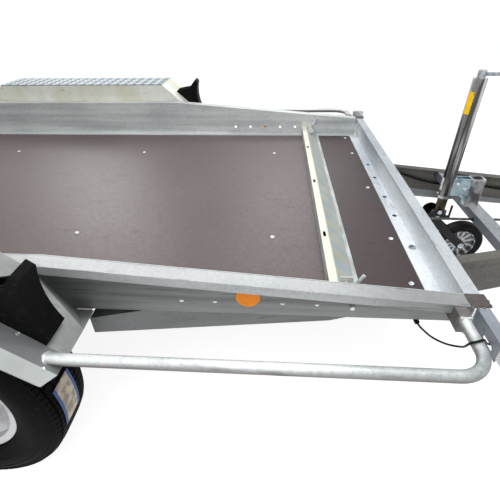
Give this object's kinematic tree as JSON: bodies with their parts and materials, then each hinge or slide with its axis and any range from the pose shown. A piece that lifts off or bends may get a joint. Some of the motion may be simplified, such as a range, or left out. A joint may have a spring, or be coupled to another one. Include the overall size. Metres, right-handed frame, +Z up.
{
  "type": "flatbed machinery trailer",
  "caption": "Low flatbed trailer with side rails, double axle under faceted mudguards, V drawbar with ball coupling, jockey wheel, wheel stop and fold-up ramps.",
  "frame": {"origin": "on the ground, under the middle of the whole box", "axes": "+X forward to the coupling, +Y to the trailer's left, +Z up"},
  "size_m": [4.943, 2.098, 1.672],
  "materials": {
    "galvanised": "dull zinc coat",
    "zinc": "bright zinc plate",
    "bright_steel": "polished",
    "dark_steel": "satin",
    "plywood": "phenolic film, fine mesh, satin",
    "black_plastic": "matte",
    "grey_plastic": "satin",
    "lamp_white": "gloss",
    "lamp_red": "gloss",
    "amber": "gloss",
    "rubber": "matte",
    "solid_rubber": "satin",
    "silver": "gloss",
    "tyre_rubber": "matte"
  },
  "bodies": {
    "chassis": {"deck_board": "plywood", "side_rails": "galvanised", "front_header": "galvanised", "front_lamps": "lamp_white", "floor_bearers": "galvanised", "chassis_beams": "galvanised", "axles": "galvanised", "drawbar_arms": "galvanised", "drawbar_strut": "galvanised", "brake_linkage": "zinc", "overrun_housing": "zinc", "drawbar_bellows": "rubber", "coupling_head": "zinc", "coupling_handle": "black_plastic", "jockey_outer_tube": "bright_steel", "jockey_crank": "zinc", "jockey_clamp": "zinc", "fenders": "galvanised", "wheel_chocks": "black_plastic", "chock_holders": "black_plastic", "guard_tubes": "galvanised", "stop_bar": "galvanised", "latch_pins": "zinc", "side_reflectors": "amber", "rear_beam": "galvanised", "rear_lamps": "lamp_red", "cable_fittings": "black_plastic", "lamp_cable": "black_plastic", "loom_cable": "black_plastic"},
    "jockey_leg": {"jockey_inner_tube": "bright_steel"},
    "jockey_fork": {"jockey_fork": "dark_steel"},
    "jockey_wheel": {"jockey_rim": "grey_plastic", "jockey_tyre": "solid_rubber"},
    "ramp_left": {"ramp_left": "galvanised"},
    "ramp_right": {"ramp_right": "galvanised"},
    "prop_stand_left": {"prop_stand_left": "galvanised"},
    "prop_stand_right": {"prop_stand_right": "galvanised"},
    "wheel_front_left": {"rim_front_left": "silver", "tyre_front_left": "tyre_rubber"},
    "wheel_front_right": {"rim_front_right": "silver", "tyre_front_right": "tyre_rubber"},
    "wheel_rear_left": {"rim_rear_left": "silver", "tyre_rear_left": "tyre_rubber"},
    "wheel_rear_right": {"rim_rear_right": "silver", "tyre_rear_right": "tyre_rubber"}
  },
  "joints": [
    {"name": "jockey_lift", "type": "slide", "parent": "chassis", "child": "jockey_leg", "axis": [0, 0, 1], "range_m": [-0.15, 0.03]},
    {"name": "jockey_swivel", "type": "hinge", "parent": "jockey_leg", "child": "jockey_fork", "pos_m": [0.8695, 0, 0.25], "axis": [0, 0, 1], "continuous": true},
    {"name": "jockey_spin", "type": "hinge", "parent": "jockey_fork", "child": "jockey_wheel", "pos_m": [0.9935, 0, 0.1], "axis": [0, 1, 0], "continuous": true},
    {"name": "wheel_front_left_spin", "type": "hinge", "parent": "chassis", "child": "wheel_front_left", "pos_m": [-0.6075, 0.969, 0.289], "axis": [0, 1, 0], "continuous": true},
    {"name": "wheel_front_right_spin", "type": "hinge", "parent": "chassis", "child": "wheel_front_right", "pos_m": [-0.6075, -0.969, 0.289], "axis": [0, 1, 0], "continuous": true},
    {"name": "wheel_rear_left_spin", "type": "hinge", "parent": "chassis", "child": "wheel_rear_left", "pos_m": [-1.4075, 0.969, 0.289], "axis": [0, 1, 0], "continuous": true},
    {"name": "wheel_rear_right_spin", "type": "hinge", "parent": "chassis", "child": "wheel_rear_right", "pos_m": [-1.4075, -0.969, 0.289], "axis": [0, 1, 0], "continuous": true},
    {"name": "ramp_left_fold", "type": "hinge", "parent": "chassis", "child": "ramp_left", "pos_m": [-2.4485, 0.48, 0.342], "axis": [0, -1, 0], "range_deg": [0, 105]},
    {"name": "ramp_right_fold", "type": "hinge", "parent": "chassis", "child": "ramp_right", "pos_m": [-2.4485, -0.48, 0.342], "axis": [0, -1, 0], "range_deg": [0, 105]},
    {"name": "prop_stand_left_drop", "type": "hinge", "parent": "chassis", "child": "prop_stand_left", "pos_m": [-2.2125, 0.64, 0.26], "axis": [0, 1, 0], "range_deg": [0, 90]},
    {"name": "prop_stand_right_drop", "type": "hinge", "parent": "chassis", "child": "prop_stand_right", "pos_m": [-2.2125, -0.64, 0.26], "axis": [0, 1, 0], "range_deg": [0, 90]}
  ]
}
